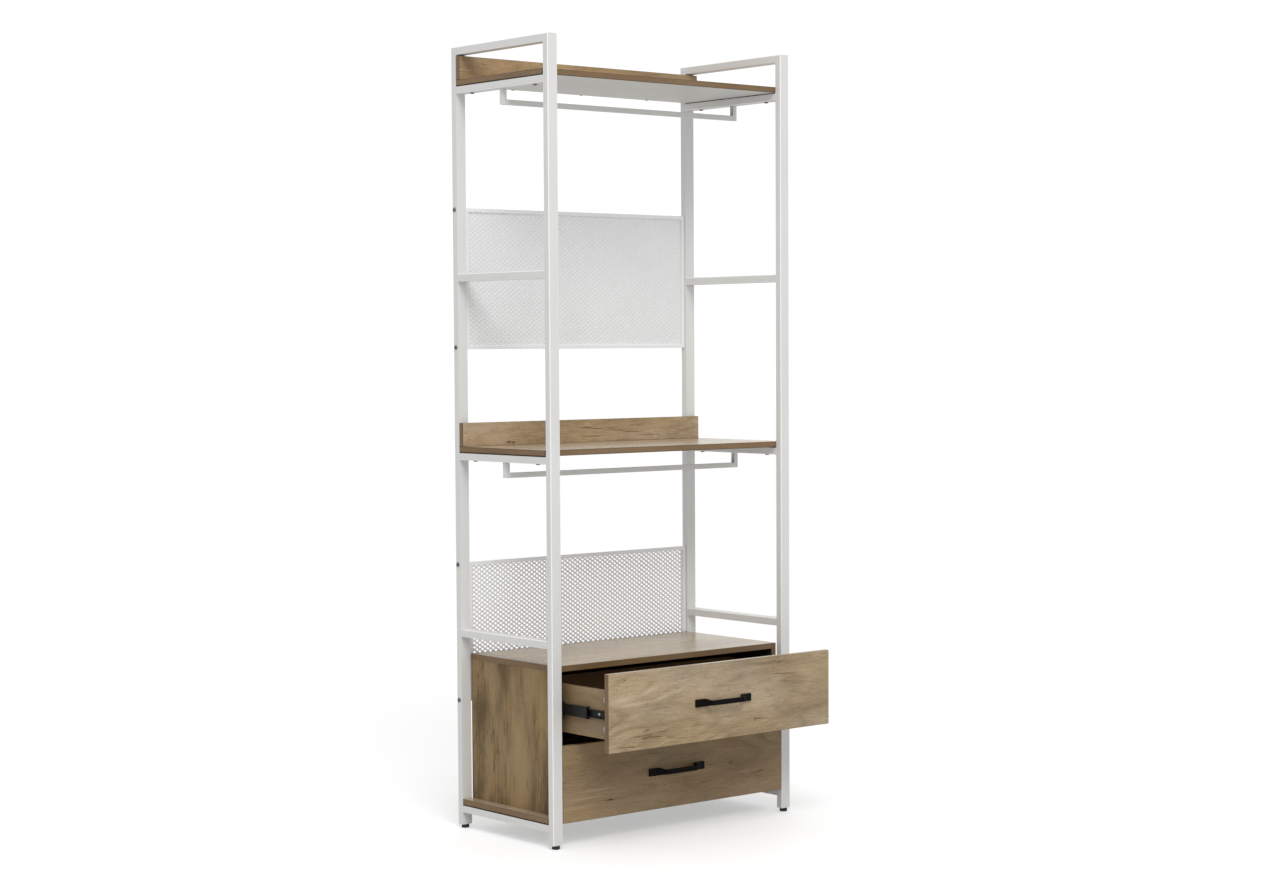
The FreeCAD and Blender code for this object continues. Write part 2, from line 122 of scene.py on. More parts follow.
def ramp(tree, value, stops):
    made = node(tree, "ValToRGB", {"Fac": value})
    band = made.color_ramp
    while len(band.elements) < len(stops):
        band.elements.new(0.5)
    for element, (place, colour) in zip(band.elements, stops):
        element.position = place
        element.color = (*colour, 1.0)
    return made.outputs["Color"]


def tint(tree, blend, share, first, second):
    inputs = {"Factor": share, 6: first, 7: second}
    return node(tree, "Mix", inputs, data_type="RGBA", blend_type=blend).outputs[2]


def start(name):
    """A new material: its tree, its shader and the piece's own coordinates."""
    material = bpy.data.materials.new(name)
    material.use_nodes = True
    tree = material.node_tree
    shader = tree.nodes["Principled BSDF"]
    place = node(tree, "TexCoord").outputs["Object"]
    return material, tree, shader, place


SKIN_HEIGHT = 0.0004


def bump(tree, shader, height, strength):
    inputs = {"Height": height, "Strength": strength, "Distance": SKIN_HEIGHT}
    made = node(tree, "Bump", inputs)
    tree.links.new(made.outputs["Normal"], shader.inputs["Normal"])


# Coats: the skin's detail, the scale and detail of the mottle and the smears, and the swing of the gloss
SKIN_DETAIL = 3.0
MOTTLE = (7.0, 4.0)
SMEAR = (45.0, 4.0)
GLOSS_SWING = 0.05
NOISE_LOW = 0.3
NOISE_HIGH = 0.7


def coated(name, light, dark, rough, skin_scale, metallic=0.0, skin=0.06, specular=0.5):
    """Paint, plastic or plated metal: a faint mottle, an uneven gloss and a fine skin."""
    material, tree, shader, place = start(name)
    mottle = noise(tree, place, *MOTTLE)
    colour = ramp(tree, mottle, ((NOISE_LOW, dark), (NOISE_HIGH, light)))
    tree.links.new(colour, shader.inputs["Base Color"])
    smear = spread(tree, noise(tree, place, *SMEAR), NOISE_LOW, NOISE_HIGH, -GLOSS_SWING, GLOSS_SWING)
    tree.links.new(math_node(tree, "ADD", smear, rough), shader.inputs["Roughness"])
    shader.inputs["Metallic"].default_value = metallic
    shader.inputs["Specular IOR Level"].default_value = specular
    bump(tree, shader, noise(tree, place, skin_scale, SKIN_DETAIL), skin)
    return material


# Marks of the wood: how their outline wavers, and where they are full and gone as shares of their reach
WAVER = (110.0, 4.0, 0.65)
FULL_WAVER_REACH = 0.006
MARK_FULL = 0.1
MARK_GONE = 1.1
THROUGH = 1000.0


def mark_field(tree, place, marks, plane, ragged):
    """A value that rises inside each mark: (a, b, reach a, reach b, depth), with a tilt if any."""
    waver = math_node(tree, "SUBTRACT", noise(tree, place, *WAVER), 0.5)
    normal = sum(AXES) - sum(plane)
    field = None
    for a, b, reach_a, reach_b, depth, *tilt in marks:
        centre = [0.0] * 3
        reach = [THROUGH] * 3
        turn = [0.0] * 3
        for axis, middle, half in zip(plane, (a, b), (reach_a, reach_b)):
            centre[axis] = middle
            reach[axis] = half
        if tilt:
            turn[normal] = math.atan(tilt[0]) * (-1 if normal == Y else 1)
        inputs = {"Vector": place, "Location": centre, "Rotation": turn, "Scale": reach}
        shaped = node(tree, "Mapping", inputs, vector_type="TEXTURE").outputs[0]
        far = node(tree, "VectorMath", {0: shaped}, operation="LENGTH").outputs["Value"]
        edge = math_node(tree, "MULTIPLY", waver, ragged * min(1.0, reach_b / FULL_WAVER_REACH))
        core = spread(tree, math_node(tree, "ADD", far, edge), MARK_FULL, MARK_GONE, depth, 0.0)
        field = core if field is None else math_node(tree, "MAXIMUM", field, core)
    return field


# Noises of the grain: stretch along it, scale, detail and roughness
DRIFT = (0.5, 3.5, 1.5)
FLOW = (0.30, 5.2, 2.0, 0.42)
RING_PLACES = (0.5, 8.0, 2.0)
BROAD = (0.38, 7.5, 3.0)
CLOUD = (0.32, 25.0, 3.0)
WARMTH = (0.4, 9.0, 2.0)
COOLNESS = (0.5, 12.0, 2.0, 0.4)
PORES = (0.11, 700.0, 2.0)
SPLITS = (0.13, 32.0, 4.0, 0.62)
SPLIT_PLACES = (0.45, 13.0, 2.0)
HATCH = (0.10, 300.0, 3.0)

# Noises whose stretch each board sets itself: scale, detail and roughness
STREAK = (280.0, 4.0, 0.62)
FINE = (640.0, 3.0, 0.6)

# Where each of these noises sets in and is full
RING_RANGE = (0.42, 0.64)
WARM_RANGE = (0.38, 0.66)
COOL_RANGE = (0.50, 0.70)
PORE_RANGE = (0.60, 0.72)
SPLIT_RANGE = (0.55, 0.65)
HATCH_RANGE = (0.42, 0.58)

# Strengths of the grain, and the colours of its parts as shares of a board's light colour
DRIFT_REACH = 0.028
RING_COUNT = 110.0
RING_SHARPNESS = 2.5
BROAD_SWING = 0.66
CLOUD_SWING = 0.26
STREAK_SWING = 0.20
FINE_SWING = 0.24
PORE_DEPTH = 0.45
HAIR_DEPTH = 0.60
HAIR_WIDTH = 0.010
STRONGEST_FIGURE = 1.5
HATCH_DEPTHS = (0.25, 1.35)
TONE_STOPS = (0.16, 0.42, 0.60, 0.88)
STREAK_HEIGHT = 0.6
GRAIN_BUMP = 0.10
DARK_RAGGED = 1.8
PALE_RAGGED = 1.0
PORE_SHARES = (0.30, 0.24, 0.18)
CRACK_SHARES = (0.19, 0.14, 0.10)
PALE_SHARE = 1.22
WARM_TINT = (1.02, 0.97, 0.86, 1.0)
COOL_TINT = (0.98, 1.0, 1.03, 1.0)


def darkened(colour, shares):
    return (*[value * share for value, share in zip(colour, shares)], 1.0)


def oak(name, grain, seed, light, dark, marks=(), pale_marks=(), plane=(X, Z), sheen=0.42,
        clouds=1.0, figure=1.0, rings=0.12, specular=0.22, stroke=0.060):
    """Oak-look laminate with its grain along one axis, and knots, cracks and pale streaks at the marks; on
    the cabinet sides the broadest marks are painted shade and painted light.
    """
    material, tree, shader, place = start(name)

    def laid(source, stretch):
        scale = [1.0, 1.0, 1.0]
        scale[grain] = stretch
        return node(tree, "Mapping", {"Vector": source, "Location": seed, "Scale": scale}).outputs[0]

    def grained(source, stretch, *kind):
        return noise(tree, laid(source, stretch), *kind)

    # Grain that wanders a little
    stretch, scale, detail = DRIFT
    inputs = {"Vector": laid(place, stretch), "Scale": scale, "Detail": detail}
    drift = node(tree, "TexNoise", inputs).outputs["Color"]
    drift = vector_node(tree, "SUBTRACT", drift, (0.5, 0.5, 0.5))
    drift = vector_node(tree, "MULTIPLY", drift, (DRIFT_REACH, DRIFT_REACH, DRIFT_REACH))
    bent = vector_node(tree, "ADD", place, drift)

    # Tone: year rings in some places, clouds and streaks
    lines = math_node(tree, "SINE", math_node(tree, "MULTIPLY", grained(place, *FLOW), RING_COUNT))
    lines = math_node(tree, "POWER", spread(tree, lines, -1.0, 1.0), RING_SHARPNESS)
    ringed = spread(tree, grained(place, *RING_PLACES), *RING_RANGE)
    lines = math_node(tree, "MULTIPLY", lines, ringed)
    tone = math_node(tree, "SUBTRACT", 0.5, math_node(tree, "MULTIPLY", lines, rings))
    streak = grained(bent, stroke, *STREAK)
    layers = (
        (grained(bent, *BROAD), BROAD_SWING * clouds),
        (grained(bent, *CLOUD), CLOUD_SWING * clouds),
        (streak, STREAK_SWING * figure),
        (grained(bent, stroke, *FINE), FINE_SWING * figure),
    )
    for value, share in layers:
        swing = math_node(tree, "SUBTRACT", value, 0.5)
        tone = math_node(tree, "ADD", tone, math_node(tree, "MULTIPLY", swing, share))

    # Colour of the tone, warmer and cooler in places
    middle = [(a + b) / 2 for a, b in zip(light, dark)]
    pale = [min(1.0, value * PALE_SHARE) for value in light]
    colour = ramp(tree, tone, list(zip(TONE_STOPS, (dark, middle, light, pale))))
    warm = spread(tree, grained(place, *WARMTH), *WARM_RANGE)
    colour = tint(tree, "MULTIPLY", warm, colour, WARM_TINT)
    cool = spread(tree, grained(place, *COOLNESS), *COOL_RANGE)
    colour = tint(tree, "MULTIPLY", cool, colour, COOL_TINT)

    # Pores and hairline cracks
    strength = min(STRONGEST_FIGURE, figure)
    pore = darkened(light, PORE_SHARES)
    pores = spread(tree, grained(bent, *PORES), *PORE_RANGE, 0.0, PORE_DEPTH * strength)
    colour = tint(tree, "MIX", pores, colour, pore)
    split = math_node(tree, "SUBTRACT", grained(bent, *SPLITS), 0.5)
    split = math_node(tree, "ABSOLUTE", split)
    hairs = spread(tree, split, 0.0, HAIR_WIDTH, HAIR_DEPTH * strength, 0.0)
    places = spread(tree, grained(place, *SPLIT_PLACES), *SPLIT_RANGE)
    hairs = math_node(tree, "MULTIPLY", hairs, places)
    colour = tint(tree, "MIX", hairs, colour, pore)

    # Pale streaks, and dark marks that break up along the grain; on the cabinet sides the broadest are
    # painted light and painted shade
    if pale_marks:
        field = mark_field(tree, bent, pale_marks, plane, PALE_RAGGED)
        colour = tint(tree, "MIX", field, colour, (*pale, 1.0))
    if marks:
        hatch = spread(tree, grained(bent, *HATCH), *HATCH_RANGE, *HATCH_DEPTHS)
        field = mark_field(tree, place, marks, plane, DARK_RAGGED)
        field = math_node(tree, "MULTIPLY", field, hatch)
        colour = tint(tree, "MIX", field, colour, darkened(light, CRACK_SHARES))

    tree.links.new(colour, shader.inputs["Base Color"])
    shader.inputs["Specular IOR Level"].default_value = specular
    gloss = spread(tree, streak, NOISE_LOW, NOISE_HIGH, GLOSS_SWING, -GLOSS_SWING)
    tree.links.new(math_node(tree, "ADD", gloss, sheen), shader.inputs["Roughness"])
    height = math_node(tree, "SUBTRACT", math_node(tree, "MULTIPLY", streak, STREAK_HEIGHT), pores)
    bump(tree, shader, height, GRAIN_BUMP * min(1.0, figure))
    return material


# Oak colours of the faces; the lower front's are a darker copy, painted shade under the upper drawer
OAK_LIGHT = (0.446, 0.350, 0.236)
OAK_DARK = (0.160, 0.112, 0.064)
LOWER_SHADED_LIGHT = (0.345, 0.248, 0.144)
LOWER_SHADED_DARK = (0.160, 0.105, 0.054)
SHELF_LIGHT = (0.450, 0.360, 0.250)
SHELF_DARK = (0.260, 0.195, 0.125)
BOX_LIGHT = (0.335, 0.250, 0.155)
BOX_DARK = (0.160, 0.110, 0.062)
LIP_LIGHT = (0.490, 0.378, 0.252)
LIP_DARK = (0.230, 0.158, 0.094)
TOP_LIP_LIGHT = (0.455, 0.324, 0.192)
TOP_LIP_DARK = (0.214, 0.138, 0.072)
# The cabinet sides' colours are a darker copy of the oak: painted shade
SIDE_SHADED_LIGHT = (0.298, 0.213, 0.118)
SIDE_SHADED_DARK = (0.056, 0.036, 0.016)
BAND_LIGHT = (0.230, 0.152, 0.084)
BAND_DARK = (0.125, 0.076, 0.038)
INSIDE_LIGHT = (0.240, 0.155, 0.085)
INSIDE_DARK = (0.120, 0.072, 0.038)

# Knots, cracks and pale streaks of the faces, placed one by one
UPPER_FRONT_MARKS = (
    (-0.130, 0.4215, 0.0100, 0.0030, 0.85, 0.26),
    (-0.160, 0.4155, 0.0400, 0.0022, 0.45, 0.17),
    (-0.318, 0.4330, 0.0060, 0.0030, 0.60),
    (-0.344, 0.4125, 0.0040, 0.0030, 0.45),
    (-0.253, 0.2857, 0.0200, 0.0070, 0.55, 0.10),
    (-0.245, 0.3050, 0.0160, 0.0045, 0.50, 0.28),
    (-0.170, 0.2796, 0.0240, 0.0040, 0.55, -0.05),
    (-0.262, 0.2920, 0.0450, 0.0017, 0.90, 0.05),
    (-0.215, 0.2850, 0.0550, 0.0017, 0.90, -0.04),
    (-0.190, 0.2960, 0.0320, 0.0015, 0.80, 0.02),
    (-0.280, 0.2770, 0.0420, 0.0015, 0.80, -0.06),
    (-0.120, 0.2730, 0.0450, 0.0015, 0.80, -0.03),
    (-0.300, 0.2680, 0.0550, 0.0022, 0.70, -0.07),
    (0.118, 0.2972, 0.0460, 0.0022, 0.90, -0.09),
    (0.112, 0.2930, 0.0200, 0.0020, 0.75),
    (0.208, 0.4035, 0.0600, 0.0019, 0.62, -0.07),
    (0.246, 0.3600, 0.0220, 0.0120, 0.22),
    (0.020, 0.3120, 0.0700, 0.0018, 0.40, 0.03),
    (-0.060, 0.3000, 0.0500, 0.0014, 0.45, -0.04),
)
UPPER_FRONT_PALE = (
    (-0.330, 0.3830, 0.0560, 0.0100, 0.95, 0.08),
    (-0.245, 0.3965, 0.0500, 0.0070, 0.85, 0.29),
    (-0.300, 0.3696, 0.0700, 0.0056, 0.80, 0.02),
    (-0.200, 0.3787, 0.0480, 0.0064, 0.80, 0.25),
    (-0.146, 0.3924, 0.0300, 0.0054, 0.70, 0.26),
    (-0.170, 0.4100, 0.0440, 0.0052, 0.60, 0.15),
    (-0.057, 0.3895, 0.0520, 0.0052, 0.50, -0.05),
    (-0.288, 0.3411, 0.0460, 0.0072, 0.45, 0.13),
    (0.060, 0.4000, 0.1100, 0.0050, 0.30),
    (0.270, 0.3350, 0.0600, 0.0050, 0.30),
)
LOWER_FRONT_MARKS = (
    (-0.218, 0.1049, 0.026, 0.0030, 0.85),
    (-0.290, 0.1057, 0.080, 0.0014, 0.45),
    (0.188, 0.1545, 0.012, 0.0060, 0.45),
    (-0.083, 0.2075, 0.045, 0.0100, 0.30),
    (0.090, 0.1120, 0.050, 0.0020, 0.35),
)
LOWER_FRONT_PALE = (
    (-0.253, 0.1320, 0.070, 0.0050, 0.80),
    (-0.290, 0.1150, 0.080, 0.0040, 0.75),
    (-0.200, 0.1220, 0.090, 0.0032, 0.65),
    (-0.315, 0.0940, 0.060, 0.0050, 0.55),
    (0.050, 0.1450, 0.110, 0.0060, 0.45),
    (0.230, 0.1250, 0.080, 0.0060, 0.30),
)
# The first is a broad pale zone over the middle of the side, painted light; the others are pale streaks
SIDE_PALE_AND_LIGHT = (
    (0.085, 0.2300, 0.0450, 0.160, 0.62),
    (0.103, 0.3100, 0.0050, 0.060, 0.60),
    (0.085, 0.2500, 0.0060, 0.060, 0.55),
    (0.076, 0.2030, 0.0060, 0.050, 0.45),
    (0.110, 0.4000, 0.0030, 0.050, 0.60),
    (0.020, 0.3700, 0.0020, 0.060, 0.50),
)
# The first two are broad dark bands near the posts, painted shade; the others are knots and cracks
SIDE_MARKS_AND_SHADE = (
    (0.245, 0.2700, 0.0320, 0.190, 0.40),
    (-0.070, 0.2700, 0.0280, 0.220, 0.38),
    (0.189, 0.2650, 0.0070, 0.034, 0.70),
    (0.233, 0.4270, 0.0100, 0.026, 0.55),
    (0.160, 0.4300, 0.0080, 0.020, 0.40),
    (0.048, 0.1440, 0.0025, 0.020, 0.65),
    (0.187, 0.1690, 0.0060, 0.040, 0.35),
    (0.020, 0.3300, 0.0050, 0.060, 0.25),
)
LIP_MARKS = (
    (-0.2535, 0.9945, 0.010, 0.0040, 0.80),
    (-0.2385, 0.9930, 0.007, 0.0045, 0.75),
    (-0.2975, 1.0271, 0.020, 0.0080, 0.30),
    (0.0060, 1.0253, 0.040, 0.0024, 0.65),
    (0.1240, 1.0160, 0.055, 0.0030, 0.70),
    (0.1800, 1.0283, 0.034, 0.0028, 0.65),
    (0.1160, 0.9900, 0.090, 0.0018, 0.90),
    (0.0600, 1.0225, 0.060, 0.0017, 0.95),
    (0.1500, 1.0105, 0.050, 0.0017, 0.95),
    (0.0200, 1.0020, 0.045, 0.0016, 0.90),
    (0.2300, 1.0010, 0.060, 0.0015, 0.80),
    (-0.3100, 1.0180, 0.040, 0.0015, 0.70),
    (-0.2150, 1.0080, 0.050, 0.0015, 0.70),
)
LIP_PALE = ((-0.300, 1.0100, 0.120, 0.050, 0.50),)


def make_materials():
    # Both cabinet sides: the darker oak plus broad dark and pale zones, that is, painted shade and painted
    # light
    shaded_side_look = {
        "light": SIDE_SHADED_LIGHT, "dark": SIDE_SHADED_DARK, "marks": SIDE_MARKS_AND_SHADE, "pale_marks": SIDE_PALE_AND_LIGHT,
        "plane": (Y, Z), "clouds": 1.6, "figure": 2.0, "specular": 0.05, "stroke": 0.022,
    }
    made = {
        "upper_front": oak(
            "oak_upper_front", X, (0.3, 1.1, 0.2), OAK_LIGHT, OAK_DARK,
            UPPER_FRONT_MARKS, UPPER_FRONT_PALE, clouds=0.95, figure=1.4, specular=0.10,
        ),
        # The lower front in the darker oak: painted shade
        "lower_front": oak(
            "oak_lower_front_painted_shade", X, (2.3, 0.4, 1.9), LOWER_SHADED_LIGHT, LOWER_SHADED_DARK,
            LOWER_FRONT_MARKS, LOWER_FRONT_PALE, clouds=0.9, figure=1.3,
        ),
        "left_side": oak("oak_left_side_painted_shade", Z, (1.2, 0.7, 0.4), **shaded_side_look),
        "right_side": oak("oak_right_side_painted_shade", Z, (3.2, 2.7, 1.4), **shaded_side_look),
        "middle_lip": oak(
            "oak_middle_lip", X, (0.9, 3.1, 2.2), LIP_LIGHT, LIP_DARK, LIP_MARKS, LIP_PALE,
            clouds=0.9, figure=1.8, specular=0.10,
        ),
        "top_lip": oak("oak_top_lip", X, (4.9, 0.1, 3.2), TOP_LIP_LIGHT, TOP_LIP_DARK, figure=1.8),
        "shelf": oak(
            "oak_shelf", X, (1.9, 5.1, 0.2), SHELF_LIGHT, SHELF_DARK,
            sheen=0.24, clouds=0.8, figure=0.45, rings=0.08, specular=0.5,
        ),
        "drawer_side": oak("oak_drawer_side", Y, (0.4, 1.6, 2.8), BOX_LIGHT, BOX_DARK),
        "inside": oak("drawer_inside", X, (0.4, 2.6, 3.8), INSIDE_LIGHT, INSIDE_DARK),
        "underside": coated(
            "board_underside", (0.68, 0.665, 0.625), (0.63, 0.615, 0.575), rough=0.42, skin_scale=900.0,
        ),
        # Near black for the cabinet's inner faces: painted shade
        "dark": coated(
            "cabinet_inside_painted_shade", (0.020, 0.017, 0.014), (0.012, 0.010, 0.008), rough=0.62, skin_scale=500.0,
        ),
        "white": coated(
            "frame_powder_coat", (0.735, 0.731, 0.718), (0.708, 0.704, 0.691), rough=0.40, skin_scale=850.0,
        ),
        # A lighter coat for the tubes' rounded corners: a painted highlight
        "painted_corner_highlight": coated(
            "frame_corner_painted_highlight", (0.930, 0.928, 0.920), (0.900, 0.898, 0.890), rough=0.30, skin_scale=850.0,
        ),
        # Near black: on boards, a dark edge-band joint line plus painted shade in the gaps at the tubes; on
        # rails, painted shade under the boards
        "joint_shade": coated(
            "board_joint_painted_shade", (0.030, 0.019, 0.011), (0.018, 0.011, 0.006), rough=0.60, skin_scale=700.0,
            specular=0.1,
        ),
        "mesh": coated(
            "mesh_powder_coat", (0.852, 0.858, 0.862), (0.817, 0.823, 0.827), rough=0.45, skin_scale=850.0,
        ),
        "black": coated(
            "handle_black", (0.006, 0.0055, 0.0045), (0.004, 0.0036, 0.003), rough=0.42, skin_scale=1200.0,
            specular=0.06,
        ),
        "slide": coated(
            "slide_black_steel", (0.012, 0.012, 0.0115), (0.007, 0.007, 0.0065), rough=0.40, skin_scale=600.0,
            specular=0.22,
        ),
        "plastic": coated(
            "foot_plastic", (0.016, 0.016, 0.016), (0.010, 0.010, 0.010), rough=0.55, skin_scale=1500.0,
            skin=0.15,
        ),
        "zinc": coated(
            "zinc_plated_steel", (0.56, 0.56, 0.57), (0.42, 0.42, 0.43), rough=0.34, skin_scale=1100.0,
            metallic=1.0,
        ),
        "bolt": coated(
            "bolt_dark_steel", (0.20, 0.20, 0.205), (0.12, 0.12, 0.125), rough=0.32, skin_scale=1100.0,
            metallic=1.0,
        ),
    }
    for axis, letter in zip(AXES, "xyz"):
        seed = (0.7 * axis, 2.1, 1.3 * axis)
        name = f"oak_band_{letter}"
        made[axis] = oak(name, axis, seed, BAND_LIGHT, BAND_DARK, sheen=0.34, figure=0.8, rings=0.0)
    return made


# Pieces made from CAD nodes: what is welded or joined, and which edges count as creases or square ones
WELD = 1e-6
FLAT_ANGLE = math.radians(1.0)
CREASE_ANGLE = math.radians(50.0)
SQUARE_LEAST = math.radians(60.0)
SQUARE_MOST = math.radians(100.0)
ROUND_STEPS = 3


def welded(name):
    work = bmesh.new()
    work.from_mesh(NODES[name].data)
    bmesh.ops.remove_doubles(work, verts=work.verts, dist=WELD)
    return work


def add_piece(name, work, materials, smooth=True):
    mesh = bpy.data.meshes.new(name)
    work.normal_update()
    work.to_mesh(mesh)
    work.free()
    for material in materials:
        mesh.materials.append(material)
    piece = bpy.data.objects.new(name, mesh)
    SCENE.collection.objects.link(piece)
    if smooth:
        mesh.shade_smooth()
        mesh.set_sharp_from_angle(angle=CREASE_ANGLE)
        weighted = piece.modifiers.new("even_normals", "WEIGHTED_NORMAL")
        weighted.keep_sharp = True
    return piece


def stand_for(piece, name):
    """The piece rides where its CAD node does and takes its place."""
    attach(piece, BODY_OF[name])
    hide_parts(name)


def dress(name, materials, radius, shortest, pick=None):
    """A CAD node with its long square edges rounded and its faces given their materials."""
    work = welded(name)
    bmesh.ops.dissolve_limit(work, angle_limit=FLAT_ANGLE, verts=work.verts, edges=work.edges)
    edges = [
        edge for edge in work.edges
        if edge.is_manifold and edge.is_convex and edge.calc_length() > shortest
        and SQUARE_LEAST < edge.calc_face_angle() < SQUARE_MOST
    ]
    bmesh.ops.bevel(
        work, geom=edges, offset=radius, offset_type="OFFSET", segments=ROUND_STEPS, profile=0.5,
        affect="EDGES", clamp_overlap=True,
    )
    work.normal_update()
    if pick:
        for face in work.faces:
            face.material_index = pick(face.normal)
    stand_for(add_piece(name + "_look", work, materials), name)


# Directions of faces: turned to a side, rounding a corner, upright, and turned up to what lies on it
FACING = 0.9
CORNER = 0.97
UPRIGHT = 0.3
CARRYING = 0.2


def on_corner(normal):
    """1 for a face that rounds a corner, 0 for a flat one."""
    return int(max(abs(part) for part in normal) < CORNER)


def under_board(normal):
    """As on_corner, and 2 for a corner that a board lies on, which takes painted shade."""
    corner = on_corner(normal)
    return 2 if corner and normal.z > CARRYING else corner


BOARD_ROUND = 0.0006
# A wider rounding for boards whose corners take the dark joint line and painted shade
JOINT_SHADE_ROUND = 0.0012
BOARD_EDGE = 0.010


def dress_board(name, faces, joint_shade=False):
    """A board: faces maps (axis, sign) to a material, and the other faces get the edge band along them.

    On request the upright corners, and the lower ones too on a board that lies flat, are darkened: partly a
    dark joint line at the edge band, partly painted shade in the gap where the board meets the tubes.
    """
    low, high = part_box(name)
    size = high - low
    flat = size.z < size.y
    shown = list(faces.values())
    materials = shown + [MATERIALS[axis] for axis in AXES] + [MATERIALS["joint_shade"]]
    keys = list(faces)

    def pick(normal):
        axis = max(AXES, key=lambda k: abs(normal[k]))
        sign = 1 if normal[axis] > 0 else -1
        if abs(normal[axis]) > FACING and (axis, sign) in faces:
            return keys.index((axis, sign))
        if joint_shade and on_corner(normal) and normal.z < UPRIGHT and (flat or normal.z > -UPRIGHT):
            return len(materials) - 1
        along = max((k for k in AXES if k != axis), key=lambda k: size[k])
        return len(shown) + along

    dress(name, materials, JOINT_SHADE_ROUND if joint_shade else BOARD_ROUND, BOARD_EDGE, pick)


def lathe(work, base, way, profile, steps):
    """Turns a profile of (radius, height) or (radius function, height) around way from base."""
    way = way.normalized()
    side = way.orthogonal().normalized()
    other = way.cross(side)
    rings = []
    for radius, height in profile:
        ring = []
        for step in range(steps):
            angle = 2 * math.pi * step / steps
            reach = radius(angle) if callable(radius) else radius
            point = side * (math.cos(angle) * reach) + other * (math.sin(angle) * reach)
            ring.append(work.verts.new(base + way * height + point))
        rings.append(ring)
    for lower, upper in zip(rings, rings[1:]):
        for step in range(steps):
            following = (step + 1) % steps
            work.faces.new((lower[step], lower[following], upper[following], upper[step]))
    work.faces.new(list(reversed(rings[0])))
    work.faces.new(rings[-1])


def hexagon(reach):
    def radius(angle):
        return reach * math.cos(math.pi / 6) / math.cos((angle % (math.pi / 3)) - math.pi / 6)
    return radius


CROSS_SLIMNESS = 6


def cross(reach, waist):
    def radius(angle):
        turn = abs(math.cos(2 * angle))
        return waist + (reach - waist) * turn ** CROSS_SLIMNESS
    return radius


def islands(name):
    """The corners of each separate solid of a CAD node."""
    work = welded(name)
    seen = set()
    groups = []
    for first in work.verts:
        if first in seen:
            continue
        seen.add(first)
        todo = [first]
        group = []
        while todo:
            vert = todo.pop()
            group.append(vert.co.copy())
            for edge in vert.link_edges:
                after = edge.other_vert(vert)
                if after not in seen:
                    seen.add(after)
                    todo.append(after)
        groups.append(group)
    work.free()
    return groups


def span(points):
    low = Vector([min(p[k] for p in points) for k in AXES])
    high = Vector([max(p[k] for p in points) for k in AXES])
    return low, high


# Bolts and screws: shares of the shank's radius, and of the head's radius and height
SHANK_TIP = 0.7
SHANK_TAPER = 0.5
HEAD_OUTLINE = ((1.0, 1.0), (1.0, 0.45), (0.90, 0.14), (0.74, 0.0))
RECESS_DEPTH = 0.62
HEXAGON_REACH = 0.46
CROSS_REACH = 0.62
CROSS_WAIST = 0.17
HEAD_STEPS = 48


def headed(work, points, recess):
    """A bolt or screw in the place of a CAD one: a domed head with a recess, and a tapered shank."""
    low, high = span(points)
    middle = (low + high) / 2
    axis = max(AXES, key=lambda k: high[k] - low[k])
    way = Vector([float(k == axis) for k in AXES])

    def reach(point):
        offset = point - middle
        return (offset - way * offset.dot(way)).length

    head_radius = max(reach(p) for p in points)
    shank_radius = min(reach(p) for p in points)
    heights = [(p - middle).dot(way) for p in points if reach(p) > (head_radius + shank_radius) / 2]
    if sum(heights) > 0:
        way = -way
    length = (high - low)[axis]
    head = max(heights) - min(heights)
    base = middle + way * (length / 2)
    if recess == "hexagon":
        socket = hexagon(head_radius * HEXAGON_REACH)
    else:
        socket = cross(head_radius * CROSS_REACH, head_radius * CROSS_WAIST)
    profile = [
        (shank_radius * SHANK_TIP, 0.0),
        (shank_radius, shank_radius * SHANK_TAPER),
        (shank_radius, length - head),
    ]
    profile += [(head_radius * out, length - head * down) for out, down in HEAD_OUTLINE]
    profile += [(socket, length), (socket, length - head * RECESS_DEPTH)]
    lathe(work, base, -way, profile, HEAD_STEPS)


def dress_fasteners(name, recess, material):
    work = bmesh.new()
    for points in islands(name):
        headed(work, points, recess)
    stand_for(add_piece(name + "_look", work, [material]), name)


# Cam locks: depths below the outside, the disc's parts as shares of its radius, and its pin
CAM_RIM = 0.0006
CAM_FACE = 0.0002
CAM_DISH = 0.0007
CAM_RECESS = 0.004
CAM_LIP = 0.80
CAM_DISH_REACH = 0.78
CAM_CROSS = (0.62, 0.14)
CAM_CROSS_FLOOR = (0.58, 0.12)
PIN_INSET = 0.006
PIN_RADIUS = 0.0025
PIN_TIP = 0.0018
PIN_TAPER = 0.001
PIN_STEPS = 16


def dress_cam_locks(name):
    """Cam discs with a cross recess, and the pins that they pull."""
    work = bmesh.new()
    for points in islands(name):
        low, high = span(points)
        radius = (high.z - low.z) / 2
        sign = 1 if low.x > 0 else -1
        depth = high.x - low.x
        outer = max(abs(low.x), abs(high.x))
        base = Vector((sign * (outer - depth), high.y - radius, (low.z + high.z) / 2))
        top_cross, low_cross = (
            cross(radius * reach, radius * waist) for reach, waist in (CAM_CROSS, CAM_CROSS_FLOOR)
        )
        disc = [
            (radius, 0.0),
            (radius, depth - CAM_RIM),
            (radius - CAM_RIM, depth - CAM_FACE),
            (radius * CAM_LIP, depth - CAM_FACE),
            (radius * CAM_DISH_REACH, depth - CAM_DISH),
            (top_cross, depth - CAM_DISH),
            (low_cross, depth - CAM_RECESS),
        ]
        lathe(work, base, Vector((sign, 0, 0)), disc, HEAD_STEPS)
        tip = Vector((sign * (outer - PIN_INSET), low.y, base.z))
        pin = [(PIN_TIP, 0.0), (PIN_RADIUS, PIN_TAPER), (PIN_RADIUS, base.y - low.y)]
        lathe(work, tip, Vector((0, 1, 0)), pin, PIN_STEPS)
    stand_for(add_piece(name + "_look", work, [MATERIALS["zinc"]]), name)


